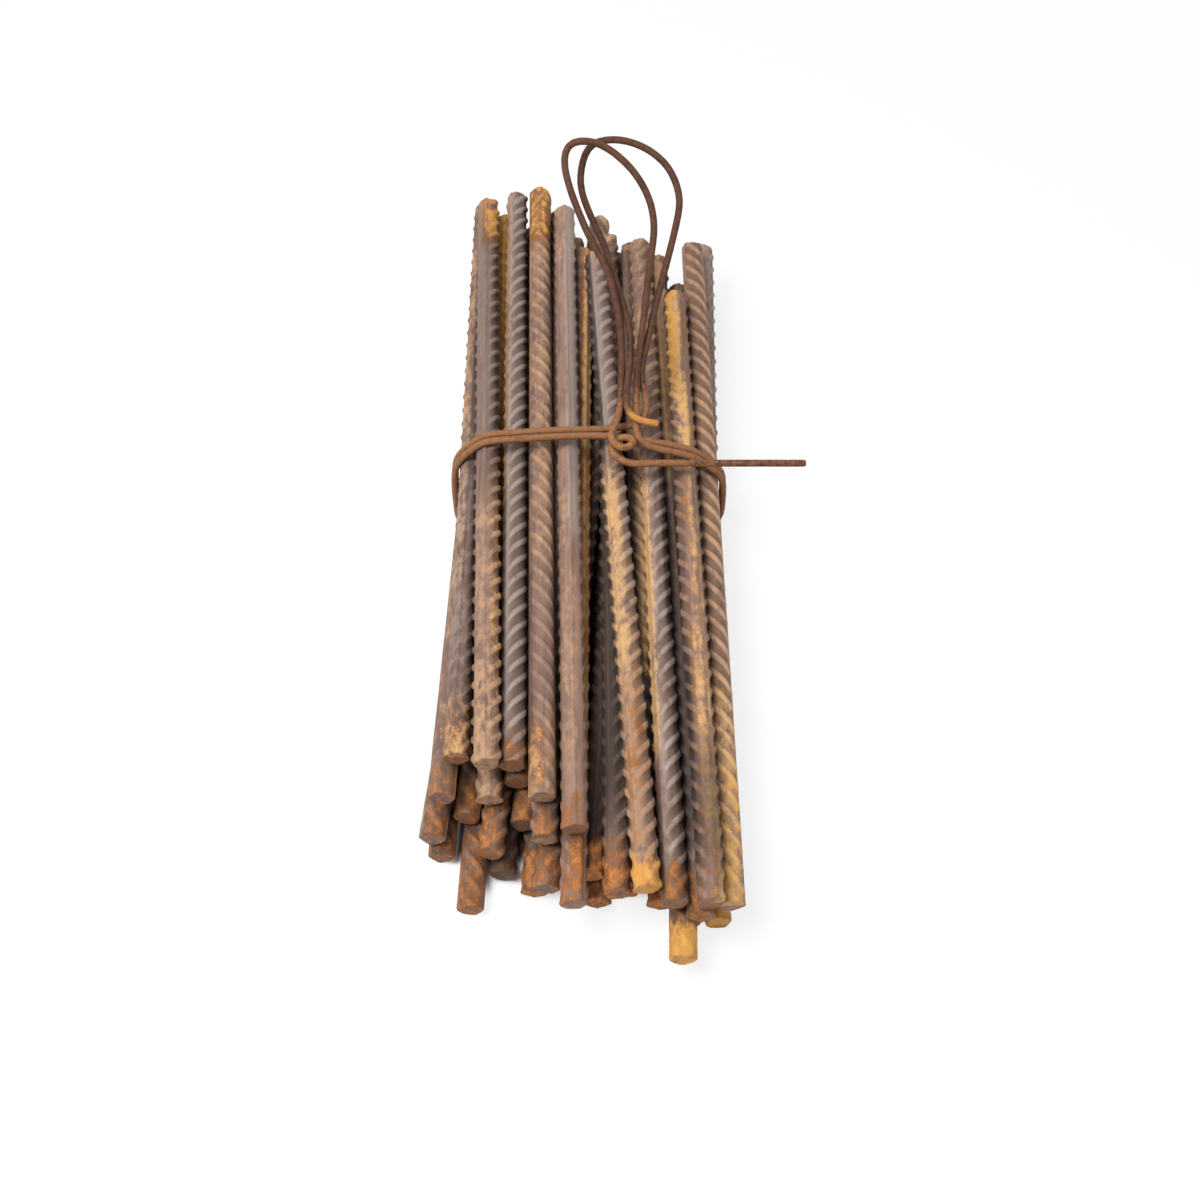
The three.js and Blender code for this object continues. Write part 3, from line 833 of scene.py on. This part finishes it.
def bar_material():
    """Rusted bar: mill scale under painted wear and rust, with grime, fine pits, dark rust and
    painted shade in the hollows, painted shade between bars, and painted light and shade in its
    tone.

    A painted colour covers what lies under it where its strength, broken up by noise, passes a
    smooth step. Tan and grey wear lie lowest, then orange, straw and yellow rust.
    """
    colours = bpy.context.scene.bar_colours
    material, maths, shader = new_material("rusted bar")
    place = maths.place()
    painted = maths.node("ShaderNodeAttribute", {"attribute_name": "paint"})
    split = maths.node("ShaderNodeSeparateColor", None, i0=maths.wrap(painted))
    channel = {name: maths.wrap(split, index) for index, name in enumerate(COLOURS[:3])}
    channel["grey"] = maths.wrap(painted, 3)
    channel["straw"] = maths.attribute("straw")
    relief = maths.attribute("relief")
    # the bar's tone: its own, with painted light and shade
    tone_and_light = maths.attribute("tone_and_light")
    # painted shade in the gaps between bars
    gap = maths.attribute("crevice_shade")
    # grime and painted shade of the dark patches
    grime_and_shade = maths.attribute("grime_and_shade")

    broad = place.drawn_out(0.35).noise(90.0)
    middle = place.drawn_out(0.6).noise(330.0, 4.0)
    streaks = place.drawn_out(0.06).noise(420.0)
    fine = place.noise(1500.0, 3.0, 0.7)
    grain = place.noise(4200.0, 2.0)
    mottle = broad * 0.3 + middle * 0.4 + fine * 0.3

    scale = (broad * 0.55 + middle * 0.45).step(0.34, 0.62).blend(
        opaque(colours.steel, PALE_SCALE), opaque(colours.steel))
    scale = (streaks.step(0.46, 0.7) * STREAKS).blend(scale, opaque(colours.tan))
    bloom = (middle * 0.6 + fine * 0.4).step(0.5, 0.66) * BLOOM
    scale = bloom.blend(scale, opaque(colours.bloom))
    scale = ((1 - streaks).step(0.5, 0.7) * SMEARS).blend(scale, opaque(colours.deep))

    ragged = (broad - 0.5) * 0.9 + (middle - 0.5) * 1.2 + (fine - 0.5) * 0.6
    covered = {name: (strength + strength.step(0.0, 0.3) * ragged * 1.7).step(0.14, 0.86)
               for name, strength in channel.items()}
    covered["grey"] = covered["grey"] * (relief * 0.7 + 0.3)
    fresh = middle * 0.5 + fine * 0.5 + (channel["orange"] - 0.8) * 0.2
    finish = {
        "tan": opaque(colours.tan),
        "grey": opaque(colours.grey),
        "orange": fresh.step(0.38, 0.64).blend(
            opaque(colours.orange, DULL_RUST), opaque(colours.orange)),
        "straw": mottle.step(0.36, 0.56).blend(opaque(colours.tan), opaque(colours.straw)),
        "yellow": mottle.step(0.4, 0.58).blend(opaque(colours.orange), opaque(colours.yellow)),
    }
    # the scale brightened or darkened by the bar's tone, partly painted light and shade
    colour = tone_and_light.shade(scale)
    for name, over in finish.items():
        colour = covered[name].blend(colour, over)

    yellow, orange, straw = covered["yellow"], covered["orange"], covered["straw"]
    pits = (fine * 0.6 + grain * 0.4).step(0.56, 0.68) * PITS
    colour = pits.blend(colour, opaque(colours.deep))
    # dark rust and painted shade in the rib hollows, weaker under fresh rust
    kept_dark = (1 - yellow * 0.7) * (1 - orange * 0.4) * (1 - straw * 0.4)
    hollow_rust_and_shade = (0.6 - relief).step(0.0, 0.6) * kept_dark * HOLLOW_RUST_AND_SHADE
    colour = hollow_rust_and_shade.blend(colour, opaque(colours.deep))
    # grime and painted shade of the dark patches
    dirt_and_shade = (grime_and_shade * 1.1 + grime_and_shade.step(0.02, 0.3) * ragged * 0.6).step(0.0, 1.0)
    # painted shade in the gaps between bars, weaker under fresh rust
    spared = (1 - yellow * 0.65) * (1 - orange * 0.35) * (1 - straw * 0.7)
    shaded = (1 - gap * GAP_SHADE * spared) * (1 - dirt_and_shade * (GRIME_AND_SHADE - relief * 0.3))
    colour = ((0.88 + grain * 0.24) * shaded).shade(colour)

    bump = maths.node("ShaderNodeBump", None, Strength=0.55, Distance=0.35 * MM,
                      Height=fine * 0.5 + middle * 0.6 + grain * 0.25)
    feed(maths, shader, Base_Color=colour, Roughness=0.78 - covered["grey"] * 0.28,
         Metallic=covered["grey"] * 0.35, Normal=maths.wrap(bump))
    return material


def wire_material():
    """Annealed wire: dark brown, paler where it is rubbed, orange rust at the short end."""
    colours = bpy.context.scene.wire_colours
    material, maths, shader = new_material("rusted wire")
    place = maths.place()
    rust = maths.attribute("rust")
    rubbed = maths.attribute("rubbed")
    broad = place.noise(70.0)
    middle = place.noise(420.0, 4.0)
    fine = place.noise(1700.0, 3.0, 0.7)
    colour = (broad * 0.4 + middle * 0.6).step(0.36, 0.64).blend(
        opaque(colours.dark), opaque(colours.brown))
    worn = (rubbed * 0.8 + (middle - 0.5) * 1.6 + (fine - 0.5) * 0.8).step(0.1, 1.0)
    colour = worn.blend(colour, opaque(colours.pale))
    ragged = (middle - 0.5) * 1.2 + (fine - 0.5) * 0.5
    spots = (rust + rust.step(0.02, 0.3) * ragged).step(0.25, 0.9)
    colour = spots.blend(colour, opaque(colours.orange))
    pits = (fine * 0.6 + middle * 0.4).step(0.5, 0.64) * WIRE_PITS
    colour = pits.blend(colour, opaque(colours.dark))
    bump = maths.node("ShaderNodeBump", None, Strength=0.35, Distance=0.15 * MM,
                      Height=fine * 0.5 + middle * 0.5)
    feed(maths, shader, Base_Color=colour, Roughness=0.74 - spots * 0.06,
         Specular_IOR_Level=0.3, Normal=maths.wrap(bump))
    return material


def beyond_bars(maths, place, insets, feather):
    """0 on the floor under the bars, 1 beyond their outline less the insets, smooth between.

    The outline's two sides are straight lines, each fitted to the outermost centre lines at the
    stations and moved out by a bar's radius. Its two ends are those of the box.
    """
    ends = np.array([[near, far] for near, far, _ in LINES.values()])
    share = (STATIONS - ends[:, :1, 1]) / (ends[:, 1:, 1] - ends[:, :1, 1])
    across = ends[:, :1, 0] + share * (ends[:, 1:, 0] - ends[:, :1, 0])
    left = np.polyfit(STATIONS, across.min(0), 1)
    right = np.polyfit(STATIONS, across.max(0), 1)
    (lean, middle), (spread, half) = (left + right) / 2, (right - left) / 2
    split = maths.node("ShaderNodeSeparateXYZ", None, i0=place)
    x, y = maths.wrap(split, 0), maths.wrap(split, 1)
    aside = maths.sum("ABSOLUTE", x - y * float(lean) - float(middle)) - y * float(spread)
    low, high = ends[..., 1].min(), ends[..., 1].max()
    ahead = maths.sum("ABSOLUTE", y - float(low + high) / 2)
    limits = (float(half) + BAR_RADIUS - insets[0], float(high - low) / 2 - insets[1])
    return maths.sum("MAXIMUM", *(off.step(limit - feather, limit)
                                  for off, limit in zip((aside, ahead), limits)))


def floor_material():
    """Pale floor that stays near white to the camera and still takes the bundle's shadow.

    Under the bars it has a dark dust colour, rust dust and painted shade that keeps the floor seen
    between the bars dark, and no white of its own.
    """
    settings = bpy.context.scene.stage_settings
    material, maths, shader = new_material("pale floor")
    place = maths.place()
    # dark dust colour under the bars: rust dust and painted shade
    beyond_dust_and_shade = beyond_bars(maths, place, DUST_AND_SHADE_INSETS, DUST_AND_SHADE_FEATHER)
    feed(maths, shader, Roughness=0.9, Specular_IOR_Level=0.1,
         Base_Color=beyond_dust_and_shade.blend(opaque(settings.dust), opaque(settings.floor)))
    white = maths.node("ShaderNodeEmission", None, Color=(1.0, 1.0, 1.0, 1.0), Strength=1.0)
    outside = beyond_bars(maths, place, WHITE_INSETS, WHITE_FEATHER)
    distance = maths.wrap(
        maths.node("ShaderNodeVectorMath", {"operation": "LENGTH"}, i0=place), 1)
    whiteness = SHADOW_WHITENESS + distance.step(*SHADOW_REACH) * (1 - SHADOW_WHITENESS)
    mixed = maths.node("ShaderNodeMixShader", None, i0=maths.seen() * outside * whiteness)
    maths.tree.links.new(shader.outputs[0], mixed.inputs[1])
    maths.tree.links.new(white.outputs[0], mixed.inputs[2])
    output = next(node for node in maths.tree.nodes if node.type == "OUTPUT_MATERIAL")
    maths.tree.links.new(mixed.outputs[0], output.inputs[0])
    return material


# ---- stage -------------------------------------------------------------------------------------


def aim_rotation(place, aim):
    """Turn that points an object's -Z from a place to a point."""
    away = unit(np.array(aim) - np.array(place))
    tilt = math.acos(-away[2])
    turn = math.atan2(away[1], away[0]) - math.pi / 2
    return (tilt, 0.0, turn)


def lamp(name, power, size, place):
    """A square area lamp at a place, turned towards the bundle."""
    light = bpy.data.lights.new(name, "AREA")
    light.energy = power
    light.size = size
    holder = bpy.data.objects.new(name, light)
    holder.location = place
    holder.rotation_euler = aim_rotation(place, LAMP_AIM)
    bpy.context.scene.collection.objects.link(holder)


def white_sky(strength):
    """World that lights the bundle evenly, and is white where the camera sees it."""
    world = bpy.data.worlds.new("studio")
    world.use_nodes = True
    tree = world.node_tree
    tree.nodes.clear()
    maths = Socket(tree)
    level = maths.seen() * (1 - strength) + strength
    sky = maths.node("ShaderNodeBackground", None, Color=(1.0, 1.0, 1.0, 1.0), Strength=level)
    output = maths.node("ShaderNodeOutputWorld")
    tree.links.new(sky.outputs[0], output.inputs[0])
    bpy.context.scene.world = world


def make_floor():
    """A flat square floor at height 0."""
    mesh = bpy.data.meshes.new("floor")
    square = [(-1, -1), (1, -1), (1, 1), (-1, 1)]
    mesh.from_pydata([(x * FLOOR_HALF, y * FLOOR_HALF, 0) for x, y in square], [], [(0, 1, 2, 3)])
    floor = bpy.data.objects.new("floor", mesh)
    bpy.context.scene.collection.objects.link(floor)
    floor.data.materials.append(floor_material())


def make_camera(settings):
    """Camera over the near ends, looking down along the bars."""
    data = bpy.data.cameras.new("camera")
    data.sensor_width = 36.0
    data.lens = settings.lens
    data.clip_start = 0.01
    camera = bpy.data.objects.new("camera", data)
    camera.location = settings.place
    camera.rotation_euler = (math.pi / 2 - settings.dip, 0.0, 0.0)
    bpy.context.scene.collection.objects.link(camera)
    bpy.context.scene.camera = camera


# ---- operators ---------------------------------------------------------------------------------


def finish_piece(piece, node, material):
    """Gives a piece its material and its body, and hides the part that it takes the place of."""
    piece.data.materials.append(material)
    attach(piece, "root")
    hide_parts(node)


class MakeBars(bpy.types.Operator):
    """Make the ribbed bars"""

    bl_idname = "rebar.make_bars"
    bl_label = "Bars"

    def execute(self, context):
        if not BAR_NODES:
            raise RuntimeError("the frame has no bars")
        material = bar_material()
        for name in BAR_NODES:
            finish_piece(ribbed_bar(name), name, material)
        return {"FINISHED"}


class MakeWire(bpy.types.Operator):
    """Make the tie wire"""

    bl_idname = "rebar.make_wire"
    bl_label = "Tie wire"

    def execute(self, context):
        if WIRE_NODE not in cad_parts:
            raise RuntimeError("the frame has no tie wire")
        finish_piece(tie_wire(), WIRE_NODE, wire_material())
        return {"FINISHED"}


class MakeStage(bpy.types.Operator):
    """Make the floor, the lamps, the sky and the camera"""

    bl_idname = "rebar.make_stage"
    bl_label = "Stage"

    def execute(self, context):
        settings = context.scene.stage_settings
        make_floor()
        lamp("key", settings.key, *KEY_LAMP)
        lamp("fill", settings.fill, *FILL_LAMP)
        white_sky(settings.sky)
        make_camera(settings)
        context.scene.view_settings.view_transform = "Standard"
        return {"FINISHED"}


class BundlePanel(bpy.types.Panel):
    """Sizes and colours of the bundle, and a button for each piece"""

    bl_idname = "VIEW3D_PT_rebar_bundle"
    bl_label = "Rebar bundle"
    bl_space_type = "VIEW_3D"
    bl_region_type = "UI"
    bl_category = "Rebar bundle"

    def draw(self, context):
        layout = self.layout
        for group in GROUPS:
            box = layout.box()
            settings = getattr(context.scene, group)
            for key in GROUPS[group].__annotations__:
                box.prop(settings, key)
        for operator in OPERATORS:
            layout.operator(operator.bl_idname)


OPERATORS = (MakeBars, MakeWire, MakeStage)
CLASSES = (*GROUPS.values(), *OPERATORS, BundlePanel)


def register():
    """Registers the classes and puts the sizes and colours on the scene."""
    for cls in CLASSES:
        bpy.utils.register_class(cls)
    for name, group in GROUPS.items():
        setattr(bpy.types.Scene, name, bpy.props.PointerProperty(type=group))


def unregister():
    """Takes the sizes, colours and classes away again."""
    for name in GROUPS:
        delattr(bpy.types.Scene, name)
    for cls in reversed(CLASSES):
        bpy.utils.unregister_class(cls)


def main():
    """Builds the bundle and its stage."""
    register()
    bpy.ops.rebar.make_bars()
    bpy.ops.rebar.make_wire()
    bpy.ops.rebar.make_stage()


if __name__ == "__main__":
    main()
